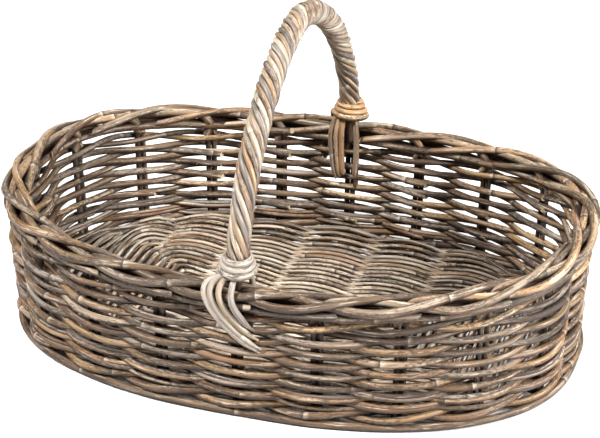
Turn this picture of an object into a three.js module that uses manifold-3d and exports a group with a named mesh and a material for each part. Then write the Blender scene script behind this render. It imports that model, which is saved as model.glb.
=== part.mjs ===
// A wicker pet bed basket: an oval tray woven round twin-rod stakes, with a plaited border
// and a fixed roped handle that arches over its width.
// Millimetres. +Z is up, +X runs along the length, and the origin is the middle of the underside.
import * as THREE from "three";
import { mergeVertices } from "three/addons/utils/BufferGeometryUtils.js";
import Module from "manifold-3d";

const wasm = await Module();
wasm.setup();

// ---- Driving dimensions ----

const GAP = 0.3; // left between rods that rest on each other
const THIN_ROD_SIDES = 5;
const THICK_ROD_SIDES = 6;
const CORE_SIDES = 8;
const BORDER_SIDES = 10;
const ROUND_SIDES = 16;
const FULL_TURN = 2 * Math.PI;

// The oval wall. Its line is the middle of the stakes.
const PLAN_POWER = 2.4; // 2 is an ellipse, more is squarer
const WALL_HALF_LENGTH = 346;
const WALL_HALF_WIDTH = 230;
const WALL_LEAN = 6.5; // how much further in the wall stands at the floor
const END_RISE = 15; // how much higher the border stands at the two ends

// Stakes: twin rods, the U-shaped frames that the walls and the floor are woven on.
const STAKE_COUNT = 20;
const STAKE_RADIUS = 3.8; // one rod of the pair
const STAKE_SPREAD = 3.7; // from the middle of the pair to the middle of a rod
const STAKE_BEND = 9; // bend radius where floor turns into wall
const TWIN_GROOVE = 0.6; // half thickness of the pair at its groove, for a rod radius of 1
const STAKE_TOP = 137.3;
const STICK_HEIGHT = 6; // middle of the rods under the floor weave
const LONG_STICK_CLIMB = 8; // the long frame goes over the cross frames
const CLIMB_START = 45; // from the wall's line
const CLIMB_END = 75;
const CORNER_LEG = 62; // how far a corner stake is pushed into the floor

// Floor mat, woven round the sticks.
const FLOOR_THICKNESS = 20;
const FLOOR_INSET = 16; // from the wall's line to the edge of the mat
const FLOOR_EDGE_POINTS = 48;

// Foot: one rod on the ground, and a pair twisted round the stakes above it.
const FOOT_RADIUS = 4.3;
const FOOT_HEIGHT = 4.8;
const FOOT_WALE_HEIGHT = 16;
const FOOT_WALE_REACH = 10; // offset from the wall's line as a rod passes a stake
const FOOT_WALE_TWIST = 4.9; // rise or drop where the two rods cross
const FOOT_TOP = 25.2; // the wall's rise to its ends starts here

// Side weave.
const WEAVER_COUNT = 13;
const WEAVER_RADIUS = 3.6;
const WEAVER_PITCH = 7.41;
const WEAVER_FIRST = 29.1;
const WEAVER_REACH = STAKE_RADIUS + WEAVER_RADIUS + GAP;
const WEAVER_FLAT = 24; // half of the straight stretch over a stake

// Rim wale, the twisted pair under the border.
const RIM_WALE_HEIGHT = 129.8;
const RIM_WALE_REACH = 9;
const RIM_WALE_TWIST = 4.2;

// Border, the rolled edge that the stakes' ends are plaited into.
const BORDER_HEIGHT = 154;
const BORDER_RADIUS = 16;
const BORDER_STEPS = 60;

// Handle: strands laid round a core, in an arch over the width.
const HANDLE_HALF_SPAN = 222;
const HANDLE_SPRING = 183; // where the arch leaves the vertical
const HANDLE_TOP = 397;
const HANDLE_POWER = 1.72; // under 2 is more pointed than an ellipse
const ARCH_FINE_STEPS = 200;
const CORE_RADIUS = 6.6;
const CORE_BOTTOM = 147;
const CORE_STEPS = 30;
const STRAND_COUNT = 8;
const STRAND_RADIUS = 2.9;
const STRAND_REACH = 10.5; // from the core's middle to a strand's middle
const STRAND_BOTTOM = 178;
const STRAND_LAY = 110; // length of one turn
const STRAND_STEPS = 56;

// Collar: three turns of rod wound round each foot of the handle.
const COLLAR_BORE = 15;
const COLLAR_TURN = 4.2; // radius of the wound rod
const COLLAR_TURNS = 3;
const COLLAR_FLARE = 2.5; // each lower turn stands this much further out
const COLLAR_BOTTOM = 182;
const COLLAR_TANGENT_SHARE = 0.02; // how far up the arch a collar takes its tilt from

// Lashings: rods that tie each foot of the handle down over the border.
const LASHING_RADIUS = 3.2;
const LASHING_PLACES = [-29, -20.5, -12, 12]; // along the border, clear of the core
const LASHING_REACH = BORDER_RADIUS + LASHING_RADIUS + 1;
const LASHING_OUTER_DROP = 58; // below the middle of the border
const LASHING_INNER_DROP = 60;
const LASHING_TUCK = 4; // how far the outer leg comes back in towards the weave
const LASHING_LEAN = 0.4; // sideways travel for each millimetre down
const LASHING_ARC_STEPS = 6;

// ---- The oval wall ----

function signedPower(value, power) {
  return Math.sign(value) * Math.abs(value) ** power;
}

// The wall's line in plan, run counter-clockwise from the +X end.
class OvalLine extends THREE.Curve {
  constructor() {
    super();
    this.arcLengthDivisions = 2000;
  }

  getPoint(share, target = new THREE.Vector3()) {
    const angle = FULL_TURN * share;
    return target.set(
      WALL_HALF_LENGTH * signedPower(Math.cos(angle), 2 / PLAN_POWER),
      WALL_HALF_WIDTH * signedPower(Math.sin(angle), 2 / PLAN_POWER),
      0,
    );
  }
}

const ovalLine = new OvalLine();

function endRise(lengthShare, height) {
  const climb = Math.max(0, height - FOOT_TOP) / (BORDER_HEIGHT - FOOT_TOP);
  return END_RISE * lengthShare ** 2 * climb;
}

// A place on the wall's line: its point, the way out of the basket and the way along the wall.
// The share is of the perimeter, so equal shares are equal lengths of wall.
function wallPlace(share, height) {
  const angle = FULL_TURN * ovalLine.getUtoTmapping(share);
  const lean = WALL_LEAN * (1 - height / BORDER_HEIGHT);
  const x = signedPower(Math.cos(angle), 2 / PLAN_POWER);
  const y = signedPower(Math.sin(angle), 2 / PLAN_POWER);
  const halfLength = WALL_HALF_LENGTH - lean;
  const halfWidth = WALL_HALF_WIDTH - lean;
  const point = new THREE.Vector3(halfLength * x, halfWidth * y, height + endRise(x, height));
  const out = new THREE.Vector3(
    signedPower(x, PLAN_POWER - 1) / halfLength,
    signedPower(y, PLAN_POWER - 1) / halfWidth,
    0,
  ).normalize();
  const along = new THREE.Vector3(-out.y, out.x, 0);
  return { point, out, along };
}

// A point beside a place: along the wall, out of it and up from it.
function beside(place, alongBy, outBy, upBy = 0) {
  const point = place.point.clone().addScaledVector(place.along, alongBy);
  point.addScaledVector(place.out, outBy);
  point.z += upBy;
  return point;
}

// ---- Rods ----

// A rod's line through its own points, which become the sections of its solid.
// Where sideways directions are given, the section keeps its first axis along them.
class RodLine extends THREE.Curve {
  constructor(points, closed = false, sideways = null) {
    super();
    this.points = points;
    this.closed = closed;
    this.sideways = sideways;
    this.steps = closed ? points.length : points.length - 1;
  }

  at(index) {
    if (this.closed) return this.points[(index + this.steps) % this.steps];
    return this.points[Math.min(Math.max(index, 0), this.steps)];
  }

  getPointAt(share, target = new THREE.Vector3()) {
    return target.copy(this.at(Math.round(share * this.steps)));
  }

  getTangentAt(share, target = new THREE.Vector3()) {
    const index = Math.round(share * this.steps);
    return target.subVectors(this.at(index + 1), this.at(index - 1)).normalize();
  }

  computeFrenetFrames(segments, closed) {
    if (!this.sideways) return super.computeFrenetFrames(segments, closed);
    const tangents = this.points.map((point, index) => this.getTangentAt(index / this.steps));
    const normals = tangents.map((tangent, index) =>
      this.sideways[index].clone().projectOnPlane(tangent).normalize(),
    );
    const binormals = tangents.map((tangent, index) => tangent.clone().cross(normals[index]));
    return { tangents, normals, binormals };
  }
}

function roundOutline(radius, sides) {
  const corners = [];
  for (let side = 0; side < sides; side++) {
    const angle = (FULL_TURN * side) / sides;
    corners.push(new THREE.Vector2(radius * Math.cos(angle), radius * Math.sin(angle)));
  }
  return new THREE.Shape(corners);
}

// Two rods side by side, joined at the groove between them.
function twinOutline(radius) {
  const lobe = [-67.5, -22.5, 22.5, 67.5]; // degrees round a rod, away from the groove
  const groove = TWIN_GROOVE * radius;
  const corner = (middle, degrees) => {
    const angle = THREE.MathUtils.degToRad(degrees);
    return new THREE.Vector2(middle + radius * Math.cos(angle), radius * Math.sin(angle));
  };
  return new THREE.Shape([
    ...lobe.map((degrees) => corner(STAKE_SPREAD, degrees)),
    new THREE.Vector2(0, groove),
    ...lobe.map((degrees) => corner(-STAKE_SPREAD, degrees + 180)),
    new THREE.Vector2(0, -groove),
  ]);
}

function sweep(outline, line) {
  return new THREE.ExtrudeGeometry(outline, { steps: line.steps, extrudePath: line });
}

function rod(points, radius, sides) {
  return sweep(roundOutline(radius, sides), new RodLine(points));
}

function ring(points, radius, sides) {
  const line = new RodLine(points, true);
  return new THREE.TubeGeometry(line, line.steps, radius, sides, true);
}

// ---- Joining and cutting ----

function toSolid(geometry) {
  const bare = geometry.clone();
  bare.deleteAttribute("normal");
  bare.deleteAttribute("uv");
  const merged = mergeVertices(bare, 1e-4);
  return new wasm.Manifold(
    new wasm.Mesh({
      numProp: 3,
      vertProperties: merged.attributes.position.array,
      triVerts: new Uint32Array(merged.index.array),
    }),
  );
}

function toGeometry(solid) {
  const mesh = solid.getMesh();
  const geometry = new THREE.BufferGeometry();
  geometry.setAttribute("position", new THREE.BufferAttribute(mesh.vertProperties, 3));
  geometry.setIndex(new THREE.BufferAttribute(mesh.triVerts, 1));
  geometry.computeVertexNormals();
  return geometry;
}

function cut(geometry, cutters) {
  let solid = toSolid(geometry);
  for (const cutter of cutters) solid = solid.subtract(toSolid(cutter));
  return toGeometry(solid);
}

// ---- Assembly ----

const basket = new THREE.Group();

const WICKER = {
  brown: 0x8a6b4a,
  tan: 0xab8c66,
  grey: 0x9c9184,
  golden: 0xb08550,
  dark: 0x4a3a2c,
  cream: 0xc9b99f,
};

function addPiece(name, geometry, colour, roughness = 0.7) {
  const material = new THREE.MeshStandardMaterial({ color: colour, roughness, metalness: 0 });
  const mesh = new THREE.Mesh(geometry, material);
  mesh.name = name;
  basket.add(mesh);
  return mesh;
}

// ---- Stakes ----

// One leg of a stake, from its top down the wall and round the bend to the floor.
// It ends at the start of the floor run, which heads the given way.
function stakeLeg(share, floorHeight, heading, sideways) {
  const top = wallPlace(share, STAKE_TOP);
  const corner = wallPlace(share, floorHeight).point;
  const up = top.point.clone().sub(corner).normalize();
  const across = top.along.clone();
  if (across.dot(sideways) < 0) across.negate();
  const points = [top.point];
  const directions = [across];
  for (const degrees of [0, 30, 60, 90]) {
    const angle = THREE.MathUtils.degToRad(degrees);
    const point = corner.clone().addScaledVector(up, STAKE_BEND * (1 - Math.sin(angle)));
    point.addScaledVector(heading, STAKE_BEND * (1 - Math.cos(angle)));
    points.push(point);
    directions.push(across.clone().lerp(sideways, degrees / 90));
  }
  return { points, directions };
}

// A U-shaped frame: up one wall, under the floor and up the other wall.
// A frame with a climb is raised between its ends.
function frameLine(share, oppositeShare, floorHeight, climb = 0) {
  const start = wallPlace(share, floorHeight).point;
  const end = wallPlace(oppositeShare, floorHeight).point;
  const heading = end.clone().sub(start).normalize();
  const sideways = new THREE.Vector3(-heading.y, heading.x, 0);
  const near = stakeLeg(share, floorHeight, heading, sideways);
  const far = stakeLeg(oppositeShare, floorHeight, heading.clone().negate(), sideways);
  const raised = [];
  if (climb > 0) {
    const raise = (from, way, distance, height) => {
      const point = from.clone().addScaledVector(heading, way * distance);
      point.z += height;
      raised.push(point);
    };
    raise(start, 1, CLIMB_START, 0);
    raise(start, 1, CLIMB_END, climb);
    raise(end, -1, CLIMB_END, climb);
    raise(end, -1, CLIMB_START, 0);
  }
  return new RodLine(
    [...near.points, ...raised, ...far.points.reverse()],
    false,
    [...near.directions, ...raised.map(() => sideways), ...far.directions.reverse()],
  );
}

// An L-shaped stake, pushed into the edge of the floor.
function cornerLine(share, legLength) {
  const place = wallPlace(share, STICK_HEIGHT);
  const heading = place.out.clone().negate();
  const sideways = place.along;
  const leg = stakeLeg(share, STICK_HEIGHT, heading, sideways);
  const tip = place.point.clone().addScaledVector(heading, legLength);
  return new RodLine([...leg.points, tip], false, [...leg.directions, sideways]);
}

const stakeShare = (number) => number / STAKE_COUNT;
const half = STAKE_COUNT / 2;

// Stakes 3 to 7 counted from the +X end run across the width, to 17 down to 13 on the far side.
const FIRST_CROSS = 3;
const LAST_CROSS = 7;
const crossLines = [];
for (let number = FIRST_CROSS; number <= LAST_CROSS; number++) {
  const opposite = STAKE_COUNT - number;
  crossLines.push(frameLine(stakeShare(opposite), stakeShare(number), STICK_HEIGHT));
}
const longLine = frameLine(stakeShare(half), stakeShare(0), STICK_HEIGHT, LONG_STICK_CLIMB);
const cornerNumbers = [1, 2, 8, 9, 11, 12, 18, 19];

crossLines.forEach((line, index) => {
  addPiece(`cross_stake_${index + 1}`, sweep(twinOutline(STAKE_RADIUS), line), WICKER.dark);
});
addPiece("long_stake", sweep(twinOutline(STAKE_RADIUS), longLine), WICKER.dark);
cornerNumbers.forEach((number, index) => {
  const line = cornerLine(stakeShare(number), CORNER_LEG);
  addPiece(`corner_stake_${index + 1}`, sweep(twinOutline(STAKE_RADIUS), line), WICKER.dark);
});

// ---- Floor mat ----

// The mat has a passage round each stick, open at its edge.
function floorMat() {
  const edge = [];
  for (let index = 0; index < FLOOR_EDGE_POINTS; index++) {
    const corner = beside(wallPlace(index / FLOOR_EDGE_POINTS, 0), 0, -FLOOR_INSET);
    edge.push(new THREE.Vector2(corner.x, corner.y));
  }
  const slab = new THREE.ExtrudeGeometry(new THREE.Shape(edge), {
    depth: FLOOR_THICKNESS,
    bevelEnabled: false,
  });
  const passage = twinOutline(STAKE_RADIUS + GAP);
  const cutters = [...crossLines, longLine].map((line) => sweep(passage, line));
  for (const number of cornerNumbers) {
    cutters.push(sweep(passage, cornerLine(stakeShare(number), CORNER_LEG + GAP)));
  }
  return cut(slab, cutters);
}

addPiece("floor_mat", floorMat(), WICKER.tan);

// ---- Foot ----

function footRing() {
  const points = [];
  const reach = STAKE_RADIUS + FOOT_RADIUS + GAP;
  for (let step = 0; step < 2 * STAKE_COUNT; step++) {
    points.push(beside(wallPlace(step / (2 * STAKE_COUNT), FOOT_HEIGHT), 0, reach));
  }
  return ring(points, FOOT_RADIUS, THICK_ROD_SIDES);
}

// One rod of a twisted pair: outside and inside the stakes by turns, over and under its partner.
// The two rods of a pair are told apart by side, 1 or -1.
function walePoints(side, height, reach, twist) {
  const points = [];
  for (let number = 0; number < STAKE_COUNT; number++) {
    const turn = number % 2 ? -side : side;
    points.push(beside(wallPlace(stakeShare(number), height), 0, turn * reach));
    points.push(beside(wallPlace(stakeShare(number + 0.5), height), 0, 0, side * twist));
  }
  return points;
}

addPiece("foot_ring", footRing(), WICKER.golden);
[1, -1].forEach((side, index) => {
  const points = walePoints(side, FOOT_WALE_HEIGHT, FOOT_WALE_REACH, FOOT_WALE_TWIST);
  const foot = ring(points, FOOT_RADIUS, THICK_ROD_SIDES);
  addPiece(`foot_wale_${index + 1}`, foot, WICKER.golden);
});

// ---- Side weave ----

// One row of plain weave: a rod that passes outside one stake and inside the next.
function weaverRow(row) {
  const height = WEAVER_FIRST + row * WEAVER_PITCH;
  const points = [];
  for (let number = 0; number < STAKE_COUNT; number++) {
    const reach = (number + row) % 2 ? WEAVER_REACH : -WEAVER_REACH;
    const place = wallPlace(stakeShare(number), height);
    points.push(beside(place, -WEAVER_FLAT, reach), beside(place, WEAVER_FLAT, reach));
  }
  return ring(points, WEAVER_RADIUS, THIN_ROD_SIDES);
}

const rowColours = [WICKER.brown, WICKER.tan, WICKER.grey];
for (let row = 0; row < WEAVER_COUNT; row++) {
  const name = `side_weaver_${String(row + 1).padStart(2, "0")}`;
  addPiece(name, weaverRow(row), rowColours[row % rowColours.length]);
}

[1, -1].forEach((side, index) => {
  const points = walePoints(side, RIM_WALE_HEIGHT, RIM_WALE_REACH, RIM_WALE_TWIST);
  const rim = ring(points, WEAVER_RADIUS, THIN_ROD_SIDES);
  addPiece(`rim_wale_${index + 1}`, rim, WICKER.brown);
});

// ---- Border ----

// The border has a blind socket at the middle of each long side for the handle's core.
function rolledBorder() {
  const points = [];
  for (let step = 0; step < BORDER_STEPS; step++) {
    points.push(wallPlace(step / BORDER_STEPS, BORDER_HEIGHT).point);
  }
  const depth = BORDER_HEIGHT + 2 * BORDER_RADIUS - CORE_BOTTOM + GAP;
  const sockets = [1, -1].map((side) => {
    const bore = CORE_RADIUS + GAP;
    const socket = new THREE.CylinderGeometry(bore, bore, depth, ROUND_SIDES);
    socket.rotateX(Math.PI / 2);
    return socket.translate(0, side * HANDLE_HALF_SPAN, CORE_BOTTOM - GAP + depth / 2);
  });
  return cut(ring(points, BORDER_RADIUS, BORDER_SIDES), sockets);
}

addPiece("rolled_border", rolledBorder(), WICKER.brown);

// ---- Handle ----

// The arch's line, from a height on the front leg to the same height on the back leg.
// Below the springing it goes straight down.
function archLine(bottom) {
  const points = [];
  for (let step = 0; step <= ARCH_FINE_STEPS; step++) {
    const angle = (Math.PI * step) / ARCH_FINE_STEPS;
    const y = -HANDLE_HALF_SPAN * signedPower(Math.cos(angle), 2 / HANDLE_POWER);
    const climb = Math.sin(angle) ** (2 / HANDLE_POWER);
    const z = HANDLE_SPRING + (HANDLE_TOP - HANDLE_SPRING) * climb;
    if (z >= bottom) points.push(new THREE.Vector3(0, y, z));
  }
  if (bottom < HANDLE_SPRING) {
    points.unshift(new THREE.Vector3(0, -HANDLE_HALF_SPAN, bottom));
    points.push(new THREE.Vector3(0, HANDLE_HALF_SPAN, bottom));
  }
  return new THREE.CatmullRomCurve3(points, false, "centripetal");
}

// A strand winds left-handed round the arch, one share of a turn from its neighbours.
function strand(index) {
  const arch = archLine(STRAND_BOTTOM);
  const length = arch.getLength();
  const sideways = new THREE.Vector3(1, 0, 0);
  const points = [];
  for (let step = 0; step <= STRAND_STEPS; step++) {
    const share = step / STRAND_STEPS;
    const angle = FULL_TURN * (index / STRAND_COUNT - (share * length) / STRAND_LAY);
    const across = arch.getTangentAt(share).cross(sideways);
    const point = arch.getPointAt(share).addScaledVector(sideways, STRAND_REACH * Math.cos(angle));
    points.push(point.addScaledVector(across, STRAND_REACH * Math.sin(angle)));
  }
  return rod(points, STRAND_RADIUS, THIN_ROD_SIDES);
}

const corePoints = archLine(CORE_BOTTOM).getSpacedPoints(CORE_STEPS);
addPiece("handle_core", rod(corePoints, CORE_RADIUS, CORE_SIDES), WICKER.grey);
for (let index = 0; index < STRAND_COUNT; index++) {
  addPiece(`handle_strand_${index + 1}`, strand(index), WICKER.cream, 0.5);
}

// ---- Collars ----

// Turns of wound rod as one ring with a lobe for each, about its own Z axis.
function collar() {
  const profile = [];
  const lobe = [-60, -20, 20, 60]; // degrees round a turn's outer side
  for (let turn = 0; turn < COLLAR_TURNS; turn++) {
    const height = COLLAR_TURN * (2 * turn + 1);
    const middle = COLLAR_BORE + COLLAR_TURN + COLLAR_FLARE * (COLLAR_TURNS - 1 - turn);
    for (const degrees of lobe) {
      const angle = THREE.MathUtils.degToRad(degrees);
      const radius = middle + COLLAR_TURN * Math.cos(angle);
      profile.push(new THREE.Vector2(radius, height + COLLAR_TURN * Math.sin(angle)));
    }
  }
  profile.push(new THREE.Vector2(COLLAR_BORE, profile[profile.length - 1].y));
  profile.unshift(new THREE.Vector2(COLLAR_BORE, profile[0].y));
  profile.push(profile[0].clone());
  return new THREE.LatheGeometry(profile, ROUND_SIDES).rotateX(Math.PI / 2);
}

const collarArch = archLine(COLLAR_BOTTOM);
[
  ["collar_front", 0, 1, WICKER.cream],
  ["collar_back", 1, -1, WICKER.golden],
].forEach(([name, share, way, colour]) => {
  const mesh = addPiece(name, collar(), colour, 0.55);
  mesh.position.copy(collarArch.getPointAt(share));
  const up = collarArch.getTangentAt(Math.abs(share - COLLAR_TANGENT_SHARE)).multiplyScalar(way);
  mesh.quaternion.setFromUnitVectors(new THREE.Vector3(0, 0, 1), up);
});

// ---- Lashings ----

// A rod that straddles the border: down the outside, over the top and down the inside.
function lashing(place, startAlong) {
  const points = [];
  const add = (out, up) => {
    const along = startAlong - LASHING_LEAN * Math.min(0, up - LASHING_REACH);
    points.push(beside(place, along, out, up));
  };
  add(LASHING_REACH - LASHING_TUCK, -LASHING_OUTER_DROP);
  add(LASHING_REACH - LASHING_TUCK / 2, -LASHING_OUTER_DROP / 2);
  for (let step = 0; step <= LASHING_ARC_STEPS; step++) {
    const angle = (Math.PI * step) / LASHING_ARC_STEPS;
    add(LASHING_REACH * Math.cos(angle), LASHING_REACH * Math.sin(angle));
  }
  add(-LASHING_REACH, -LASHING_INNER_DROP / 2);
  add(-LASHING_REACH, -LASHING_INNER_DROP);
  return rod(points, LASHING_RADIUS, THICK_ROD_SIDES);
}

[
  ["front", 0.75, 1],
  ["back", 0.25, -1],
].forEach(([side, share, way]) => {
  const place = wallPlace(share, BORDER_HEIGHT);
  LASHING_PLACES.forEach((startAlong, index) => {
    const made = lashing(place, way * startAlong);
    addPiece(`lashing_${side}_${index + 1}`, made, WICKER.cream, 0.55);
  });
});

export default basket;
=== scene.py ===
# %% [markdown]
# # A wicker pet bed basket
# An oval basket woven from rattan rods, with a plaited border and a roped handle.
# Every rod is real geometry: a round section carried along its own line.
# The lesson goes from the frame and the camera, through a rod builder and the rattan looks,
# to the floor, the stakes, the side weave, the border and the handle.

import math

import bpy
import numpy as np
from mathutils import Matrix, Vector


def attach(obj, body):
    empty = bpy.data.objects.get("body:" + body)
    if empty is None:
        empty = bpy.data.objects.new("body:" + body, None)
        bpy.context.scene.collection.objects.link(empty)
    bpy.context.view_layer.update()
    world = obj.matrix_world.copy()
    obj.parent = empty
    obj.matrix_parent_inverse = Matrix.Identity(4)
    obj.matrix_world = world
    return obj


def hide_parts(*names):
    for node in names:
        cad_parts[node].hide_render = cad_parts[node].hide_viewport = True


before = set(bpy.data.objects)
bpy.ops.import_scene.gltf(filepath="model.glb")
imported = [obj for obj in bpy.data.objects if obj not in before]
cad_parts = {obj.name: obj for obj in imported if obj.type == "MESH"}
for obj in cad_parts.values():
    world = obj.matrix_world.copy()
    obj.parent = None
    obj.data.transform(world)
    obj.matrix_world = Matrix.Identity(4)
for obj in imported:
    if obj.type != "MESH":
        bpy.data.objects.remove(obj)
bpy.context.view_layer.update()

# %% [markdown]
# ## Camera, floor and light
# The camera looks at the middle of the underside with a long lens, and a lens shift frames the
# basket and its handle. The floor is pale. Three area lights shape the rods, and a weak, warm
# sky fills the shadows.

# %% Camera
MM = 0.001
AZIMUTH, ELEVATION, ROLL = (math.radians(a) for a in (17.553, 29.989, 0.204))
DISTANCE = 2.5464
SENSOR_WIDTH = 36.0
LENS_LENGTH = 122.8
LENS_SHIFT = (0.004, 0.1667)
CLIP_END = 50.0
back = Vector((
    math.sin(AZIMUTH) * math.cos(ELEVATION),
    -math.cos(AZIMUTH) * math.cos(ELEVATION),
    math.sin(ELEVATION),
))
right = Vector((math.cos(AZIMUTH), math.sin(AZIMUTH), 0.0))
up = back.cross(right)
turned_right = right * math.cos(ROLL) + up * math.sin(ROLL)
turned_up = up * math.cos(ROLL) - right * math.sin(ROLL)
lens = bpy.data.cameras.new("Camera")
lens.sensor_width = SENSOR_WIDTH
lens.lens = LENS_LENGTH
lens.shift_x, lens.shift_y = LENS_SHIFT
lens.clip_end = CLIP_END
lens.dof.use_dof = False
camera = bpy.data.objects.new("Camera", lens)
camera.matrix_world = Matrix.Translation(back * DISTANCE) @ Matrix(
    (turned_right, turned_up, back)
).transposed().to_4x4()
bpy.context.scene.collection.objects.link(camera)
bpy.context.scene.camera = camera
print("camera", round(math.degrees(AZIMUTH), 1), round(math.degrees(ELEVATION), 1))

# %% Floor and lights
FLOOR_SIZE = 12.0
FLOOR_DROP = 0.0004
PAPER_NOISE = 3.0
PAPER_SHADES = (0.90, 0.93)
PAPER_ROUGHNESS = 0.9
LIGHTS = [
    # name, place, size, power
    ("Key", (-1.0, -1.2, 2.4), (0.6, 0.6), 118.0),
    ("Side", (2.2, -0.3, 1.1), (0.7, 0.7), 110.0),
    ("Rear", (0.0, 2.0, 2.0), (1.2, 0.7), 24.0),
]
LIGHT_AIM = (0.0, 0.0, 0.08)
FILL_COLOUR = (1.0, 0.88, 0.74, 1.0)
FILL_STRENGTH = 0.17


def new_material(name):
    material = bpy.data.materials.new(name)
    material.use_nodes = True
    tree = material.node_tree
    tree.nodes.clear()
    output = tree.nodes.new("ShaderNodeOutputMaterial")
    shader = tree.nodes.new("ShaderNodeBsdfPrincipled")
    tree.links.new(shader.outputs["BSDF"], output.inputs["Surface"])
    return material, tree, shader


def node(tree, kind, inputs=None, **settings):
    made = tree.nodes.new(kind)
    for key, value in settings.items():
        setattr(made, key, value)
    for key, value in (inputs or {}).items():
        if isinstance(value, bpy.types.NodeSocket):
            tree.links.new(value, made.inputs[key])
        else:
            made.inputs[key].default_value = value
    return made


floor_mesh = bpy.data.meshes.new("Studio_floor")
half = FLOOR_SIZE / 2
floor_mesh.from_pydata(
    [(-half, -half, 0), (half, -half, 0), (half, half, 0), (-half, half, 0)], [], [(0, 1, 2, 3)]
)
studio_floor = bpy.data.objects.new("Studio_floor", floor_mesh)
studio_floor.location.z = -FLOOR_DROP
bpy.context.scene.collection.objects.link(studio_floor)
paper, paper_tree, paper_shader = new_material("Pale_paper")
paper_coords = node(paper_tree, "ShaderNodeTexCoord")
paper_noise = node(
    paper_tree, "ShaderNodeTexNoise",
    {"Vector": paper_coords.outputs["Object"], "Scale": PAPER_NOISE},
)
paper_ramp = node(paper_tree, "ShaderNodeMapRange", {"Value": paper_noise.outputs["Fac"]})
paper_ramp.inputs["To Min"].default_value = PAPER_SHADES[0]
paper_ramp.inputs["To Max"].default_value = PAPER_SHADES[1]
paper_tree.links.new(paper_ramp.outputs["Result"], paper_shader.inputs["Base Color"])
paper_shader.inputs["Roughness"].default_value = PAPER_ROUGHNESS
floor_mesh.materials.append(paper)

for name, place, size, power in LIGHTS:
    lamp = bpy.data.lights.new(name, "AREA")
    lamp.shape = "RECTANGLE"
    lamp.size, lamp.size_y = size
    lamp.energy = power
    holder = bpy.data.objects.new(name, lamp)
    holder.location = place
    aim = Vector(LIGHT_AIM) - Vector(place)
    holder.rotation_euler = aim.to_track_quat("-Z", "Y").to_euler()
    bpy.context.scene.collection.objects.link(holder)
world = bpy.data.worlds.new("Studio")
world.use_nodes = True
sky = world.node_tree.nodes["Background"]
sky.inputs["Color"].default_value = FILL_COLOUR
sky.inputs["Strength"].default_value = FILL_STRENGTH
bpy.context.scene.world = world
bpy.context.scene.view_settings.view_transform = "Standard"
print("lights", [row[0] for row in LIGHTS])

# %% [markdown]
# ## The oval wall
# Everything stands on one line: a slightly squared oval, measured in twenty equal intervals.
# `wall_point` answers in millimetres, for a place counted in intervals, a height above the
# ground and a distance out of the wall. The oval is laid out three times over, so that a place
# before the first stake or past the last one has an answer too.

# %% The wall's line
PLAN_POWER = 2.4
HALF_LENGTH, HALF_WIDTH = 346.0, 230.0
WALL_LEAN = 6.5
END_RISE = 15.0
FOOT_TOP, BORDER_HEIGHT = 25.2, 154.0
INTERVALS = 20
OVAL_STEPS = 60001


def signed_power(value, power):
    return np.sign(value) * np.abs(value) ** power


def measured(path):
    """How far along a path each of its points is."""
    return np.concatenate([[0.0], np.cumsum(np.linalg.norm(np.diff(path, axis=0), axis=1))])


oval_angles = np.linspace(-2 * np.pi, 4 * np.pi, OVAL_STEPS)
oval_line = np.stack([
    HALF_LENGTH * signed_power(np.cos(oval_angles), 2 / PLAN_POWER),
    HALF_WIDTH * signed_power(np.sin(oval_angles), 2 / PLAN_POWER),
], 1)
oval_run = measured(oval_line)
PERIMETER = oval_run[-1] / 3
oval_run -= PERIMETER
INTERVAL = PERIMETER / INTERVALS


def wall_point(stake, height, out=0.0, up=0.0):
    """Points beside the wall's line. stake counts intervals counter-clockwise from +X."""
    stake, height = np.broadcast_arrays(np.asarray(stake, float), np.asarray(height, float))
    angle = np.interp(stake * INTERVAL, oval_run, oval_angles)
    x = signed_power(np.cos(angle), 2 / PLAN_POWER)
    y = signed_power(np.sin(angle), 2 / PLAN_POWER)
    lean = WALL_LEAN * (1 - height / BORDER_HEIGHT)
    length, width = HALF_LENGTH - lean, HALF_WIDTH - lean
    way = np.stack([
        signed_power(x, PLAN_POWER - 1) / length, signed_power(y, PLAN_POWER - 1) / width
    ], -1)
    way /= np.linalg.norm(way, axis=-1, keepdims=True)
    climb = np.maximum(0, height - FOOT_TOP) / (BORDER_HEIGHT - FOOT_TOP)
    return np.stack([
        length * x + way[..., 0] * out,
        width * y + way[..., 1] * out,
        height + END_RISE * x**2 * climb + up,
    ], -1)


print("perimeter", round(PERIMETER, 1), "interval", round(INTERVAL, 2))

# %% [markdown]
# ## Rods
# A `Bundle` collects rods and makes one mesh from them. Each vertex remembers where it sits on
# its unrolled rod, the rod's own colour, where the knuckles are, whether it is on a cut end and
# how much painted shade it gets in the groove between wound rods. The looks are drawn from
# those facts, so the pattern follows every bend.

# %% Rod lines
rng = np.random.default_rng(2024)
WAVES = ((0.5, 1.0), (0.3, 0.61), (0.2, 0.37))


def wander(length_run, wavelength):
    """A smooth random wave between about -1 and 1 along a rod."""
    phases = rng.uniform(0, 2 * np.pi, 3)
    return sum(
        share * np.sin(2 * np.pi * length_run / (wavelength * stretch) + phase)
        for (share, stretch), phase in zip(WAVES, phases)
    )


def smooth_path(controls, samples=14):
    """A Catmull-Rom line through control points."""
    controls = np.asarray(controls, float)
    padded = np.vstack([2 * controls[0] - controls[1], controls, 2 * controls[-1] - controls[-2]])
    t = np.linspace(0, 1, samples, endpoint=False)[:, None]
    pieces = []
    for a, b, c, d in zip(padded, padded[1:], padded[2:], padded[3:]):
        pieces.append(0.5 * (
            2 * b + (c - a) * t + (2 * a - 5 * b + 4 * c - d) * t**2
            + (3 * b - a - 3 * c + d) * t**3
        ))
    return np.vstack([*pieces, controls[-1:]])


def sampled(path, run, stations):
    """The path's points at the given distances along it."""
    return np.stack([np.interp(stations, run, path[:, axis]) for axis in range(3)], 1)


def tuck_in(where, first, lead, length):
    """1 at the hidden start of a rod, falling to 0 once it is clear of its stake."""
    return np.clip((first + lead - where) / length, 0, 1)


print("rod lines ready")

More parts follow.
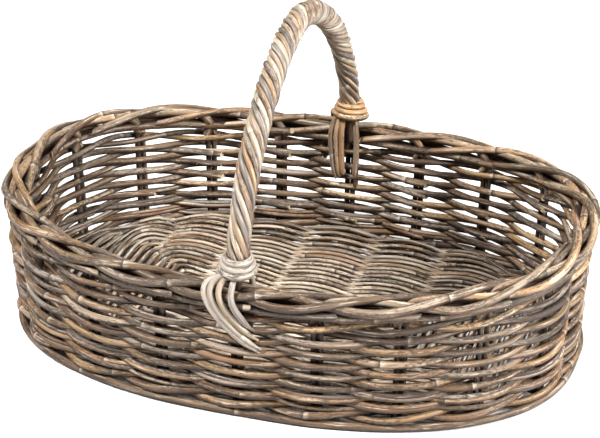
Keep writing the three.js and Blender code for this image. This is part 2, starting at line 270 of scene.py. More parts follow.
# %% Rod sections
SECTION_STEP = 5.0
KNUCKLE_SPACINGS = (190, 430)
KNUCKLE_STATIONS = np.array([-7.0, -3.0, -1.2, 0.0, 1.2, 3.0, 7.0])
KNUCKLE_HALF_WIDTH = 2.2
THICKNESS_WAVE = 160.0
NEARLY_UPRIGHT = 0.2
# how far round the rod the painted groove shade reaches
UNSHADED_FACING, GROOVE_SHADE_BLEND = 0.35, 0.6


def rod_stations(total, step, spacing, phase):
    """Where the sections go: evenly along the rod, and close together at each knuckle."""
    knuckles = np.arange(-1, total / spacing + 2) * spacing + 0.5 * spacing - phase
    even = np.linspace(0, total, max(3, int(total / step) + 1))
    close = (knuckles[:, None] + KNUCKLE_STATIONS[None, :]).ravel()
    stations = np.concatenate([even, close])
    stations = np.unique(np.round(stations[(stations >= 0) & (stations <= total)], 1))
    stations[-1] = total
    return stations, knuckles


def rod_thickness(stations, radius, knuckles, wobble, knuckle, tips, tip_length):
    """The radius at each station: a slow wobble, swollen knuckles and narrower tips."""
    size = radius * (1 + wobble * wander(stations, THICKNESS_WAVE))
    nearest = np.abs(stations[:, None] - knuckles[None, :]).min(1)
    size = size * (1 + knuckle * np.exp(-((nearest / KNUCKLE_HALF_WIDTH) ** 2)))
    for tip, gap in zip(tips, (stations, stations[-1] - stations)):
        blend = np.clip(gap / tip_length, 0, 1)
        size = size * (tip + (1 - tip) * blend * blend * (3 - 2 * blend))
    return size


def rod_ways(centre, stations):
    """The rod's direction at each station, and two directions across it that don't twist."""
    tangent = np.gradient(centre, stations, axis=0)
    tangent /= np.linalg.norm(tangent, axis=1, keepdims=True)
    side = np.cross(tangent[0], [0.0, 0.0, 1.0])
    if np.linalg.norm(side) < NEARLY_UPRIGHT:
        side = np.cross(tangent[0], [1.0, 0.0, 0.0])
    across = np.empty_like(centre)
    for index, way in enumerate(tangent):
        side = side - way * side.dot(way)
        side = side / np.linalg.norm(side)
        across[index] = side
    return tangent, across, np.cross(tangent, across)


def groove_shade_mask(rows, centre, size, hub):
    """Painted groove shade: 1 where a section faces the hub that the rod is wound round, 0 on its
    outer side.
    """
    outward = centre - hub
    outward /= np.maximum(np.linalg.norm(outward, axis=1, keepdims=True), 0.01)
    facing = ((rows - centre[:, None, :]) * outward[:, None, :]).sum(-1) / size[:, None]
    return np.clip((UNSHADED_FACING - facing) / GROOVE_SHADE_BLEND, 0, 1).ravel()


def rod_faces(start, count, sides):
    """Quads round the rod, and a narrow rim and a fan of triangles on each cut end."""
    ring = np.arange(sides)
    after = (ring + 1) % sides
    base = start + np.arange(count - 1)[:, None] * sides
    quads = np.stack([base + ring, base + after, base + sides + after, base + sides + ring], -1)
    faces = quads.reshape(-1, 4).tolist()
    last = start + (count - 1) * sides
    near, far = last + sides, last + 2 * sides
    near_middle, far_middle = far + sides, far + sides + 1
    for j, k in zip(ring.tolist(), after.tolist()):
        faces.append([near + j, near + k, start + k, start + j])
        faces.append([last + j, last + k, far + k, far + j])
        faces.append([near_middle, near + k, near + j])
        faces.append([far_middle, far + j, far + k])
    return faces


print("rod sections ready")

# %% Bundle
OVALNESS = 0.04
CAP_INSET = 0.03
SEED_COUNT, SEED_STRIDE = 60, 977.0
CREASE = math.radians(58)
FACT_KINDS = {
    "rod_space": ("FLOAT_VECTOR", "vector"),
    "rod_facts": ("FLOAT_VECTOR", "vector"),
    "rod_tint": ("FLOAT_COLOR", "color"),
    "rod_cut": ("FLOAT", "value"),
    "rod_groove_shade": ("FLOAT", "value"),
}


class Bundle:
    """Collects rods and the facts for their looks, and makes one mesh."""

    def __init__(self):
        self.points = []
        self.faces = []
        self.facts = {label: [] for label in FACT_KINDS}
        self.count = 0

    def add(self, path, radius, colour, sides=8, tips=(1.0, 1.0), tip_length=14.0,
            spacing=None, slant=0.35, step=SECTION_STEP, wobble=0.05, knuckle=0.10, hub=None):
        """One rod along path. radius is a number or one value for each path point.
        hub is the line the rod is wound round: the side towards it gets painted groove shade."""
        path = np.asarray(path, float)
        run = measured(path)
        spacing = spacing or rng.uniform(*KNUCKLE_SPACINGS)
        phase = rng.uniform(0, spacing)
        stations, knuckles = rod_stations(run[-1], step, spacing, phase)
        centre = sampled(path, run, stations)
        size = np.interp(stations, run, np.broadcast_to(np.asarray(radius, float), run.shape))
        size = rod_thickness(stations, size, knuckles, wobble, knuckle, tips, tip_length)
        tangent, across, over = rod_ways(centre, stations)
        theta = np.arange(sides) * 2 * np.pi / sides + rng.uniform(0, 6)
        cosine, sine = np.cos(theta), np.sin(theta)
        oval = 1 + OVALNESS * np.cos(2 * theta + rng.uniform(0, 6))
        reach = size[:, None] * oval[None, :]
        rows = (
            centre[:, None, :]
            + across[:, None, :] * (reach * cosine)[..., None]
            + over[:, None, :] * (reach * sine)[..., None]
        )
        for row, sign in ((0, -1.0), (-1, 1.0)):
            rows[row] += tangent[row] * sign * (slant * cosine * size[row])[:, None]
        rims = [rows[row] * (1 - CAP_INSET) + rows[row].mean(0) * CAP_INSET for row in (0, -1)]
        middles = np.stack([rows[0].mean(0), rows[-1].mean(0)])
        self.points += [rows.reshape(-1, 3), *rims, middles]
        self.faces += rod_faces(self.count, len(stations), sides)

        # the facts are listed for the sections, the two rims and the two middles
        seed = rng.uniform(0, SEED_COUNT) * SEED_STRIDE
        along = np.append(np.repeat([*stations, 0, run[-1]], sides), [0, run[-1]])
        sizes = np.append(size, size[[0, -1]])[:, None]
        unrolled = [np.append((sizes * wave).ravel(), [0, 0]) for wave in (cosine, sine)]
        body, whole = len(stations) * sides, len(along)
        # painted shade on the side of the rod that faces its hub
        groove_shade = np.zeros(whole)
        if hub is not None:
            groove_shade[:body] = groove_shade_mask(rows, centre, size, sampled(hub, run, stations))
        knuckle_facts = [along, np.full(whole, spacing), np.full(whole, phase)]
        self.facts["rod_space"].append(np.stack([along + seed, *unrolled], 1))
        self.facts["rod_facts"].append(np.stack(knuckle_facts, 1))
        self.facts["rod_tint"].append(np.tile([*colour, 1.0], (whole, 1)))
        self.facts["rod_cut"].append(np.append(np.zeros(body), np.ones(whole - body)))
        self.facts["rod_groove_shade"].append(groove_shade)
        self.count += whole

    def build(self, name, material, node_name, slot_name):
        """The mesh and its object with its material, attached to the root body; the frame's node
        is hidden. slot_name is not used.
        """
        mesh = bpy.data.meshes.new(name)
        mesh.from_pydata((np.vstack(self.points) * MM).tolist(), [], self.faces)
        for label, (kind, key) in FACT_KINDS.items():
            values = np.ascontiguousarray(np.concatenate(self.facts[label]), np.float32)
            attribute = mesh.attributes.new(label, kind, "POINT")
            attribute.data.foreach_set(key, values.ravel())
        mesh.polygons.foreach_set("use_smooth", np.ones(len(mesh.polygons), bool))
        mesh.set_sharp_from_angle(angle=CREASE)
        mesh.materials.append(material)
        piece = bpy.data.objects.new(name, mesh)
        bpy.context.scene.collection.objects.link(piece)
        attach(piece, "root")
        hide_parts(node_name)
        return piece


print("bundle facts", list(FACT_KINDS))

# %% [markdown]
# ## Rattan
# Rods differ more from each other than along themselves, so colours are drawn rod by rod from
# small palettes. The shared node groups add what every rod has: fine lengthwise fibres, dark
# flecks of bark, a dark ring with a pale shoulder at each knuckle, grey weathering, bleached
# streaks, and painted shade on the rods' undersides and in the grooves between wound rods.

# %% Palettes
SHADES = (0.52, 1.30)
BRIGHTEST = 0.9


def linear(code):
    """A colour code as linear light."""
    channels = [int(code[i:i + 2], 16) / 255 for i in (0, 2, 4)]
    return tuple(c / 12.92 if c <= 0.04045 else ((c + 0.055) / 1.055) ** 2.4 for c in channels)


PALETTES = {
    "floor_pale": ["d5c5ad", "c9b69d", "bda98d", "dbcdb7", "b09c83"],
    "floor_brown": ["b0906f", "a0805f", "bb9a74", "8d7258", "a8947f"],
    "dark": ["4a3c30", "3b3029", "54453a"],
    "stake_light": ["8a715a", "9c8266", "7a6552"],
    "weaver_brown": ["8b6947", "7b5d40", "6a5039", "9e7b51", "856c50", "a68052", "5f4836"],
    "weaver_tan": ["b89365", "c4a06d", "a28056", "b5956a", "967b59", "cfac7c", "8a6e50"],
    "weaver_grey": ["a58c70", "b99c7d", "8d755b", "c9ac8c", "836a54", "a38666", "746150"],
    "foot": ["967146", "9a774e", "8c6947", "7e6141", "a58459", "775c42"],
    "border": ["a7855c", "bd996b", "947e61", "99764d", "c8a779", "816648", "b49a79", "91724e"],
    "strand": ["c9baa3", "ab8c69", "80776f", "cec3af", "997956", "706963", "ab865d", "7c654e"],
    "peeled": ["cfc7bb", "c4baad", "c9bda9", "b9b2aa", "bfae94"],
    "binding": ["c3bcb3"],
    "golden": ["cfa878", "c09866", "d8b685", "b58c5a"],
    "core": ["7d5a41", "8a6a50"],
}
PALETTES = {name: [linear(code) for code in codes] for name, codes in PALETTES.items()}


def tint(name):
    """A colour drawn from a palette, a little lighter or darker each time."""
    colour = PALETTES[name][rng.integers(len(PALETTES[name]))]
    return tuple(np.clip(np.array(colour) * rng.uniform(*SHADES), 0, BRIGHTEST))


print("palettes", sorted(PALETTES))

# %% Shared node groups


def group(name, inputs, outputs):
    tree = bpy.data.node_groups.new(name, "ShaderNodeTree")
    for label, kind, value in inputs:
        socket = tree.interface.new_socket(label, in_out="INPUT", socket_type=kind)
        if value is not None:
            socket.default_value = value
    for label, kind in outputs:
        tree.interface.new_socket(label, in_out="OUTPUT", socket_type=kind)
    return tree, tree.nodes.new("NodeGroupInput"), tree.nodes.new("NodeGroupOutput")


FLOAT, VECTOR = "NodeSocketFloat", "NodeSocketVector"


def math_node(tree, operation, first, second=0.0):
    return node(tree, "ShaderNodeMath", {0: first, 1: second}, operation=operation).outputs[0]


def smooth_range(tree, value, low, high, start=0.0, end=1.0):
    limits = {"From Min": low, "From Max": high, "To Min": start, "To Max": end}
    made = node(
        tree, "ShaderNodeMapRange", {"Value": value, **limits}, interpolation_type="SMOOTHSTEP"
    )
    return made.outputs["Result"]


def stretched_noise(tree, vector, stretch, detail=3.0, roughness=0.55):
    scaled = node(tree, "ShaderNodeVectorMath", {0: vector, 1: stretch}, operation="MULTIPLY")
    noise = node(
        tree, "ShaderNodeTexNoise",
        {"Vector": scaled.outputs[0], "Scale": 1.0, "Detail": detail, "Roughness": roughness},
    )
    return noise.outputs["Fac"]


def fibre_group():
    tree, given, result = group(
        "Fibre streaks", [("Rod space", VECTOR, None)], [("Streak", FLOAT), ("Height", FLOAT)]
    )
    space = given.outputs["Rod space"]
    broad = stretched_noise(tree, space, (0.012, 0.45, 0.45))
    fine = stretched_noise(tree, space, (0.03, 1.7, 1.7), 2.0)
    streak = node(tree, "ShaderNodeMix", {0: 0.45, 2: broad, 3: fine}, data_type="FLOAT")
    tree.links.new(smooth_range(tree, streak.outputs[0], 0.32, 0.68), result.inputs["Streak"])
    tree.links.new(fine, result.inputs["Height"])
    return tree


def knuckle_group():
    tree, given, result = group(
        "Knuckle rings",
        [("Along", FLOAT, 0.0), ("Spacing", FLOAT, 200.0), ("Phase", FLOAT, 0.0)],
        [("Ring", FLOAT), ("Shoulder", FLOAT)],
    )
    shifted = math_node(tree, "ADD", given.outputs["Along"], given.outputs["Phase"])
    turns = math_node(tree, "DIVIDE", shifted, given.outputs["Spacing"])
    share = math_node(tree, "SUBTRACT", math_node(tree, "FRACT", turns), 0.5)
    offset = math_node(tree, "MULTIPLY", share, given.outputs["Spacing"])
    distance = math_node(tree, "ABSOLUTE", offset)
    ring = smooth_range(tree, distance, 0.6, 1.8, 1.0, 0.0)
    smudge = math_node(
        tree, "MULTIPLY", smooth_range(tree, offset, -7.0, -0.5, 0.0, 0.65),
        smooth_range(tree, offset, -0.5, 0.5, 1.0, 0.0),
    )
    tree.links.new(math_node(tree, "MAXIMUM", ring, smudge), result.inputs["Ring"])
    shoulder = smooth_range(tree, offset, 1.2, 9.0, 1.0, 0.0)
    ahead = smooth_range(tree, offset, 0.6, 1.6)
    product = math_node(tree, "MULTIPLY", shoulder, ahead)
    tree.links.new(product, result.inputs["Shoulder"])
    return tree


def fleck_group():
    tree, given, result = group(
        "Bark flecks", [("Rod space", VECTOR, None), ("Amount", FLOAT, 0.5)], [("Fleck", FLOAT)]
    )
    space = given.outputs["Rod space"]
    spots = stretched_noise(tree, space, (0.16, 0.6, 0.6), 5.0, 0.75)
    patches = stretched_noise(tree, space, (0.014, 0.14, 0.14), 2.0)
    level = math_node(tree, "MULTIPLY", given.outputs["Amount"], 0.16)
    lifted = math_node(tree, "ADD", math_node(tree, "MULTIPLY", patches, 0.6), level)
    raised = math_node(tree, "ADD", spots, lifted)
    tree.links.new(smooth_range(tree, raised, 0.89, 0.95), result.inputs["Fleck"])
    return tree


def weather_group():
    tree, given, result = group(
        "Weathering", [("Rod space", VECTOR, None), ("Amount", FLOAT, 0.5)], [("Grey", FLOAT)]
    )
    patches = stretched_noise(tree, given.outputs["Rod space"], (0.009, 0.22, 0.22), 3.0)
    level = math_node(tree, "MULTIPLY", given.outputs["Amount"], 0.3)
    lifted = math_node(tree, "ADD", patches, level)
    tree.links.new(smooth_range(tree, lifted, 0.52, 0.80), result.inputs["Grey"])
    return tree


def bleach_group():
    tree, given, result = group(
        "Bleached streaks", [("Rod space", VECTOR, None), ("Amount", FLOAT, 0.5)],
        [("Pale", FLOAT)],
    )
    streaks = stretched_noise(tree, given.outputs["Rod space"], (0.021, 0.33, 0.33), 4.0, 0.65)
    level = math_node(tree, "MULTIPLY", given.outputs["Amount"], 0.2)
    lifted = math_node(tree, "ADD", streaks, level)
    tree.links.new(smooth_range(tree, lifted, 0.62, 0.74), result.inputs["Pale"])
    return tree


def painted_shade_group():
    """Painted shade: darker on the sides and undersides of the rods, where the normal turns down,
    broken up by noise.
    """
    tree, given, result = group(
        "Painted underside shade", [("Rod space", VECTOR, None), ("Low", FLOAT, -0.6), ("High", FLOAT, 0.4)],
        [("Shade", FLOAT)],
    )
    # painted shade from the surface normal: the lower the normal points, the darker
    facing = node(tree, "ShaderNodeNewGeometry").outputs["Normal"]
    height = node(tree, "ShaderNodeSeparateXYZ", {0: facing}).outputs[2]
    patches = stretched_noise(tree, given.outputs["Rod space"], (0.03, 0.2, 0.2))
    uneven = math_node(tree, "MULTIPLY", math_node(tree, "SUBTRACT", patches, 0.5), 0.9)
    turned_down = math_node(tree, "ADD", height, uneven)
    made = smooth_range(
        tree, turned_down, given.outputs["Low"], given.outputs["High"], 1.0, 0.0
    )
    tree.links.new(made, result.inputs["Shade"])
    return tree


FIBRES, KNUCKLES, FLECKS = fibre_group(), knuckle_group(), fleck_group()
WEATHER, BLEACH, PAINTED_SHADE = weather_group(), bleach_group(), painted_shade_group()
print("node groups", [g.name for g in bpy.data.node_groups])

# %% Rattan material
CUT_COLOUR = (*linear("c9b594"), 1.0)
FLECK_COLOUR = (*linear("33241a"), 1.0)
RING_COLOUR = (*linear("38291f"), 1.0)
GREY_COLOUR = (*linear("a69d93"), 1.0)
PALE_COLOUR = (*linear("e6dac6"), 1.0)
STREAK_TINT = (0.44, 0.34, 0.25, 1.0)
# painted shade: the colour is multiplied by this tint on the rods' undersides and in grooves
PAINTED_SHADE_TINT = (0.16, 0.095, 0.05, 1.0)
GREY_SHARE, PALE_SHARE, BLEACH_SHARE = 0.6, 0.6, 0.8
SHOULDER_SHARE, FLECK_SHARE, GROOVE_SHADE_SHARE = 0.7, 0.8, 0.95
FLECK_HEIGHT, BUMP_DISTANCE = 0.6, 0.0006
ROUGHNESS_SPREAD, COAT_ROUGHNESS = 0.15, 0.35


def rattan(name, fleck=0.5, grey=0.4, roughness=0.55, coat=0.05, depth=0.5, ring=0.85,
           bleached=0.45, painted_shade=0.92, groove_shade=(-0.5, 0.72)):
    """A rattan look. The last two settings give the strength of the painted shade and how far up
    the rods' sides it reaches.
    """
    material, tree, shader = new_material(name)

    def fact(label):
        return node(tree, "ShaderNodeAttribute", attribute_name=label)

    def use(shared, **inputs):
        named = {key.replace("_", " ").capitalize(): value for key, value in inputs.items()}
        return node(tree, "ShaderNodeGroup", named, node_tree=shared)

    def times(value, share):
        return math_node(tree, "MULTIPLY", value, share)

    def mix(factor, first, second, blend="MIX"):
        return node(
            tree, "ShaderNodeMix", {0: factor, 6: first, 7: second},
            data_type="RGBA", blend_type=blend, clamp_factor=True,
        ).outputs[2]

    space = fact("rod_space").outputs["Vector"]
    facts = node(tree, "ShaderNodeSeparateXYZ", {0: fact("rod_facts").outputs["Vector"]})
    along, spacing, phase = facts.outputs
    own = fact("rod_tint").outputs["Color"]
    fibres = use(FIBRES, rod_space=space)
    rings = use(KNUCKLES, along=along, spacing=spacing, phase=phase)
    flecks = use(FLECKS, rod_space=space, amount=fleck)
    weather = use(WEATHER, rod_space=space, amount=grey)
    bleach = use(BLEACH, rod_space=space, amount=bleached)
    grooves = use(PAINTED_SHADE, rod_space=space, low=groove_shade[0], high=groove_shade[1])

    darker = mix(1.0, own, STREAK_TINT, "MULTIPLY")
    pale = mix(PALE_SHARE, own, PALE_COLOUR)
    colour = mix(fibres.outputs["Streak"], darker, own)
    colour = mix(times(weather.outputs["Grey"], GREY_SHARE), colour, GREY_COLOUR)
    colour = mix(times(bleach.outputs["Pale"], BLEACH_SHARE), colour, pale)
    colour = mix(times(rings.outputs["Shoulder"], SHOULDER_SHARE), colour, pale)
    colour = mix(times(flecks.outputs["Fleck"], FLECK_SHARE), colour, FLECK_COLOUR)
    colour = mix(times(rings.outputs["Ring"], ring), colour, RING_COLOUR)
    # painted shade on the undersides and in the grooves between wound rods
    wound = times(fact("rod_groove_shade").outputs["Fac"], GROOVE_SHADE_SHARE)
    underside_shading = times(grooves.outputs["Shade"], painted_shade)
    colour = mix(math_node(tree, "MAXIMUM", underside_shading, wound), colour, PAINTED_SHADE_TINT, "MULTIPLY")
    cut = smooth_range(tree, fact("rod_cut").outputs["Fac"], 0.5, 0.9)
    tree.links.new(mix(cut, colour, CUT_COLOUR), shader.inputs["Base Color"])

    limits = {"To Min": min(1.0, roughness + ROUGHNESS_SPREAD), "To Max": roughness}
    rough = node(tree, "ShaderNodeMapRange", {"Value": fibres.outputs["Streak"], **limits})
    tree.links.new(rough.outputs["Result"], shader.inputs["Roughness"])
    raised = times(flecks.outputs["Fleck"], FLECK_HEIGHT)
    height = math_node(tree, "ADD", fibres.outputs["Height"], raised)
    relief = {"Height": height, "Strength": depth, "Distance": BUMP_DISTANCE}
    bump = node(tree, "ShaderNodeBump", relief)
    tree.links.new(bump.outputs["Normal"], shader.inputs["Normal"])
    shader.inputs["Coat Weight"].default_value = coat
    shader.inputs["Coat Roughness"].default_value = COAT_ROUGHNESS
    return material


# the shade settings of each look set its painted underside shade
LOOKS = {
    "floor_rattan": rattan("Floor_rattan", fleck=0.3, grey=0.3, roughness=0.68, coat=0.0,
                           bleached=0.8, painted_shade=0.8, groove_shade=(-0.05, 0.75)),
    "stake_rattan": rattan("Stake_rattan", fleck=0.8, grey=0.1, roughness=0.7, coat=0.0),
    "weaver_brown": rattan("Weaver_brown", fleck=0.6, grey=0.15),
    "weaver_tan": rattan("Weaver_tan", fleck=0.45, grey=0.1, roughness=0.5),
    "weaver_grey": rattan("Weaver_grey", fleck=0.5, grey=0.6, roughness=0.66, coat=0.0),
    "foot_rattan": rattan("Foot_rattan", fleck=0.5, grey=0.1, roughness=0.5, coat=0.1),
    "border_rattan": rattan("Border_rattan", fleck=0.5, grey=0.3, roughness=0.5),
    "handle_core_rattan": rattan("Core_rattan", fleck=0.4, grey=0.2),
    "peeled_rattan": rattan("Peeled_rattan", fleck=0.1, grey=0.5, roughness=0.42, coat=0.12,
                            depth=0.2, ring=0.25, bleached=0.3, painted_shade=0.5),
    "golden_rattan": rattan("Golden_rattan", fleck=0.15, grey=0.1, roughness=0.45, coat=0.1,
                            depth=0.2, ring=0.3),
}
print("looks", sorted(LOOKS))

# %% [markdown]
# ## Floor
# Close rounds of thin rod, woven over and under the cross sticks. Near the middle each round is
# a long rectangle with mitred corners; further out the rounds swell into the wall's oval.

# %% Floor rounds
# places along the length, and the sticks passed by then; round the end it goes on counting
STICK_MARKS = [0, 92, 183, 240, 290]
STICK_COUNTS = [0, 1, 2, 2.7, 3.3, 4.0]
FARTHEST = 340
MAT_HEIGHT = 8.4
MAT_REACH = 4.9
MAT_RISE = 6.6
ROUND_RADIUS = 2.74
ROUND_PITCH = 5.45
FIRST_ROUND, LAST_ROUND = 4.0, 209.0
EDGE_START, EDGE_RISE = 168.0, 11.0
END_BROWN = 62.0
MIDDLE_RUN = 118.0
# how square the rounds are: oval outside, nearly rectangles in the middle
OVAL_POWER, SQUARE_POWER, SQUARE_FADE = 2.5, 28.0, 1.3
ROUND_STEP = 3.0
SIDEWAYS, SIDEWAYS_WAVE = 0.6, 210.0
PITCH_CHANGE, PITCH_WAVE = 0.5, 260.0
NARROW_ROUND, NARROW_RISE = 12.0, 3.0
SPANS = ((0.0, 0.26), (0.25, 0.51), (0.5, 0.76), (0.75, 1.0))
DIP, DIP_POINTS, LAP_POINTS = 2.0, 5, 6
# painted shade near the wall and at the ends of the floor
END_PAINTED_SHADE, RIM_PAINTED_SHADE = 0.62, 0.5


def round_line(half_width):
    """One floor round: the x, the y and the distance along it of each point."""
    share = half_width / LAST_ROUND
    power = OVAL_POWER + SQUARE_POWER * (1 - share) ** SQUARE_FADE
    length = MIDDLE_RUN + half_width
    angle = np.linspace(0, 2 * np.pi, 4001)
    x = length * signed_power(np.cos(angle), 2 / power)
    y = half_width * signed_power(np.sin(angle), 2 / power)
    run = measured(np.stack([x, y], 1))
    even = np.linspace(0, run[-1], int(run[-1] / ROUND_STEP))
    return np.interp(even, run, x), np.interp(even, run, y), even


def weave_phase(x, y, half_width):
    """Counts the sticks passed from the middle of a long side, alike on all four quarters."""
    length = MIDDLE_RUN + half_width
    tip_mark = max(length, STICK_MARKS[-1]) + 1
    ahead = np.interp(np.abs(x), [*STICK_MARKS, tip_mark], STICK_COUNTS)
    turn = np.clip(1 - np.abs(y) / max(half_width, 1.0), 0, 1)
    end = np.abs(x) > length - 0.35 * half_width - 4
    last = math.ceil(np.interp(length, [*STICK_MARKS, FARTHEST], STICK_COUNTS))
    return np.where(end, ahead + (last - ahead) * turn, ahead)


def span_colour(part, half_width):
    """Pale in the middle of the floor, browner towards the wall and the ends, and darker there
    from painted shade.
    """
    share = half_width / LAST_ROUND
    towards_back = part[:, 1].mean() / LAST_ROUND
    at_end = abs(part[:, 0].mean()) > 0.5 * (MIDDLE_RUN + half_width)
    brown = rng.random() < 0.10 + 0.9 * share**4 + 0.7 * max(0.0, towards_back)
    brown = brown or (at_end and half_width > END_BROWN)
    colour = np.array(tint("floor_brown" if brown else "floor_pale"))
    # painted shade: darker near the wall and at the ends of the floor
    return tuple(colour * (1 - RIM_PAINTED_SHADE * share**4) * (END_PAINTED_SHADE if at_end else 1.0))


floor = Bundle()
rounds = np.arange(FIRST_ROUND, LAST_ROUND, ROUND_PITCH)
for number, half_width in enumerate(rounds):
    x, y, run = round_line(half_width)
    phase = weave_phase(x, y, half_width)
    parity = 1 if number % 2 else -1
    lift = parity * np.cos(np.pi * phase)
    jitter = SIDEWAYS * wander(run, SIDEWAYS_WAVE)
    z = MAT_HEIGHT + np.where(lift > 0, MAT_RISE, MAT_REACH) * lift
    z = z + EDGE_RISE * np.clip((half_width - EDGE_START) / (LAST_ROUND - EDGE_START), 0, 1)
    if half_width < NARROW_ROUND:
        z = np.maximum(z, MAT_HEIGHT + NARROW_RISE)
    # a second wander breaks the evenness of the spacing
    scale = 1 + PITCH_CHANGE * wander(run, PITCH_WAVE) / max(half_width, 30.0)
    line = np.stack([x + jitter * 0.5, y * scale, z], 1)
    start = int(len(line) * (0.12 + 0.06 * rng.random()))
    line = np.roll(line[:-1], -start, axis=0)
    for first, last in SPANS:
        low, high = int(first * len(line)), int(last * len(line))
        part = np.take(line, np.arange(low, high + LAP_POINTS), axis=0, mode="wrap")
        part[:DIP_POINTS, 2] -= np.linspace(DIP, 0, DIP_POINTS)
        part[:, 2] = np.maximum(part[:, 2], 1.2 * ROUND_RADIUS)
        colour = span_colour(part, half_width)
        floor.add(part, ROUND_RADIUS, colour, step=6.0, wobble=0.07, knuckle=0.07)
floor.build("Floor_mat", LOOKS["floor_rattan"], "floor_mat", "floor_rattan")
print("floor rounds", len(rounds), "faces", len(floor.faces))

# %% [markdown]
# ## Stakes
# Each stake is a pair of rods. The frames run up one wall, under the floor rounds and up the
# other wall; the corner stakes are pushed into the edge of the floor.

# %% Stakes
STAKE_RADIUS = 3.7
STAKE_SPREAD = 3.75
STAKE_TOP = 140.0
STICK_HEIGHT = 8.2
CORNER_LEG = 62.0
LEG_HEIGHTS = [STAKE_TOP, 110, 80, 45, 24]
LEG_BENDS = [(13.0, -2.0), (10.0, -11.0)]
CROSS_NUMBERS = [3, 4, 5, 6, 7]
CORNER_NUMBERS = [1, 2, 8, 9, 11, 12, 18, 19]


def stake_leg(number, shift):
    """Points from the top of a stake down the wall to the edge of the floor."""
    place = number + shift / INTERVAL
    points = [wall_point(place, height) for height in LEG_HEIGHTS]
    points += [wall_point(place, height, out) for height, out in LEG_BENDS]
    points[-1][2] = STICK_HEIGHT
    return points


def stake_pair():
    """The two rods of a stake: which side each is on, and its colour."""
    pair = [tint("dark"), tint("stake_light")]
    if rng.random() < 0.5:
        pair.reverse()
    return zip((-STAKE_SPREAD, STAKE_SPREAD), pair)


def build_stake(stake, name):
    stake.build(name, LOOKS["stake_rattan"], name.lower(), "stake_rattan")


def add_frame(number, opposite, name):
    """A stake that runs on under the floor and comes up the other wall."""
    stake = Bundle()
    for shift, colour in stake_pair():
        near = stake_leg(number, shift)
        far = stake_leg(opposite, -shift)
        middle = [near[-1] * (1 - t) + far[-1] * t for t in (0.1, 0.35, 0.65, 0.9)]
        stake.add(smooth_path([*near, *middle, *far[::-1]]), STAKE_RADIUS, colour, step=9.0)
    build_stake(stake, name)


for index, number in enumerate(CROSS_NUMBERS):
    add_frame(INTERVALS - number, number, f"Cross_stake_{index + 1}")
add_frame(INTERVALS // 2, 0, "Long_stake")
for index, number in enumerate(CORNER_NUMBERS):
    stake = Bundle()
    for shift, colour in stake_pair():
        leg = stake_leg(number, shift)
        leg.append(wall_point(number + shift / INTERVAL, STICK_HEIGHT, -CORNER_LEG))
        stake.add(smooth_path(leg), STAKE_RADIUS, colour, step=8.0, tips=(1.0, 0.5))
    build_stake(stake, f"Corner_stake_{index + 1}")
print("stakes", len(CROSS_NUMBERS) + 1 + len(CORNER_NUMBERS))

# %% [markdown]
# ## Foot
# One thick rod lies on the ground outside the stakes. Above it a pair of thick rods twists
# round the wall, over and under each other between the stakes.

# %% Foot
FOOT_RADIUS = 4.5
RING_HEIGHT, RING_OUT = 5.0, 8.6
# how far rods run on past their first and last stake, in intervals
RING_LAPS, WALE_LAPS = (0.15, 0.2), (0.12, 0.2)
FOOT_WALE = {"height": 15.8, "reach": 9.6, "rise": 4.0, "tuck": 2.5, "slack": 0.5}


def rod_cuts(pieces, shift):
    """Splits the wall's round into that many spans that meet at stakes, in intervals."""
    marks = np.sort((np.arange(pieces) + rng.uniform(-0.2, 0.2, pieces)) / pieces) * INTERVALS
    marks = np.round(marks + shift)
    return list(zip(marks, [*marks[1:], marks[0] + INTERVALS]))


def wale_line(first, last, side, height, reach, rise, tuck, slack):
    """One rod of a twisted pair: out and in by turns, over and under its partner."""
    where = np.linspace(first - WALE_LAPS[0], last + WALE_LAPS[1], 500)
    swing = np.cos(np.pi * where) * side
    cross = np.sin(np.pi * where) * side
    out = reach * swing - tuck * tuck_in(where, first, 0.3, 0.4)
    return wall_point(where, height, out, rise * cross + slack * wander(where * INTERVAL, 240.0))


def build_wales(title, slot_name, radius, palettes, shifts, measures, **section):
    """A twisted pair round the wall: two pieces, each spliced from four rods."""
    for index, side in enumerate((1, -1)):
        wale = Bundle()
        for first, last in rod_cuts(4, shifts[index]):
            line = wale_line(first, last, side, **measures)
            wale.add(line, radius, tint(palettes[index]), **section)
        name = f"{title}_{index + 1}"
        wale.build(name, LOOKS[slot_name], name.lower(), slot_name)


foot = Bundle()
for first, last in rod_cuts(3, 1):
    where = np.linspace(first - RING_LAPS[0], last + RING_LAPS[1], 400)
    along = where * INTERVAL
    out = RING_OUT - 3.0 * tuck_in(where, first, 0.3, 0.45) + 0.8 * wander(along, 240.0)
    line = wall_point(where, RING_HEIGHT, out, 0.2 * wander(along, 300.0))
    foot.add(line, FOOT_RADIUS, tint("foot"), sides=10, knuckle=0.02, wobble=0.02)
foot.build("Foot_ring", LOOKS["foot_rattan"], "foot_ring", "foot_rattan")
build_wales("Foot_wale", "foot_rattan", FOOT_RADIUS, ("foot", "foot"), (2, 5), FOOT_WALE,
            sides=10, wobble=0.03)
print("foot: a ring and a twisted pair")

# %% [markdown]
# ## Side weave
# Thirteen rows of plain weave. A row is spliced from a few rods, each with its own thickness,
# colour and slack, and its ends are cut off behind a stake. Thin rods fill the lowest four rows.

# %% Side rows
ROW_COUNT = 13
ROW_PITCH = 7.41
FIRST_ROW = 29.1
ROW_REACH = 7.6
ROW_SLOTS = ["weaver_brown", "weaver_tan", "weaver_grey"]
ROW_THICKNESS = (3.85, 4.8)
ROW_SLACK = (0.9, 1.12)
ROW_LAPS = (0.16, 0.22)
ROW_TAPER = (0.88, 1.06)
OWN_COLOUR_SHARE = 0.7
FILLED_ROWS = 4
FILLER_DROP = 3.7
FILLER_RADIUS = 2.9


def plain_weave(where, row):
    """Out and in by turns: 1 outside a stake, -1 inside the next one."""
    swing = np.cos(np.pi * (where + row + 1))
    return swing * (1.18 - 0.18 * swing**2)


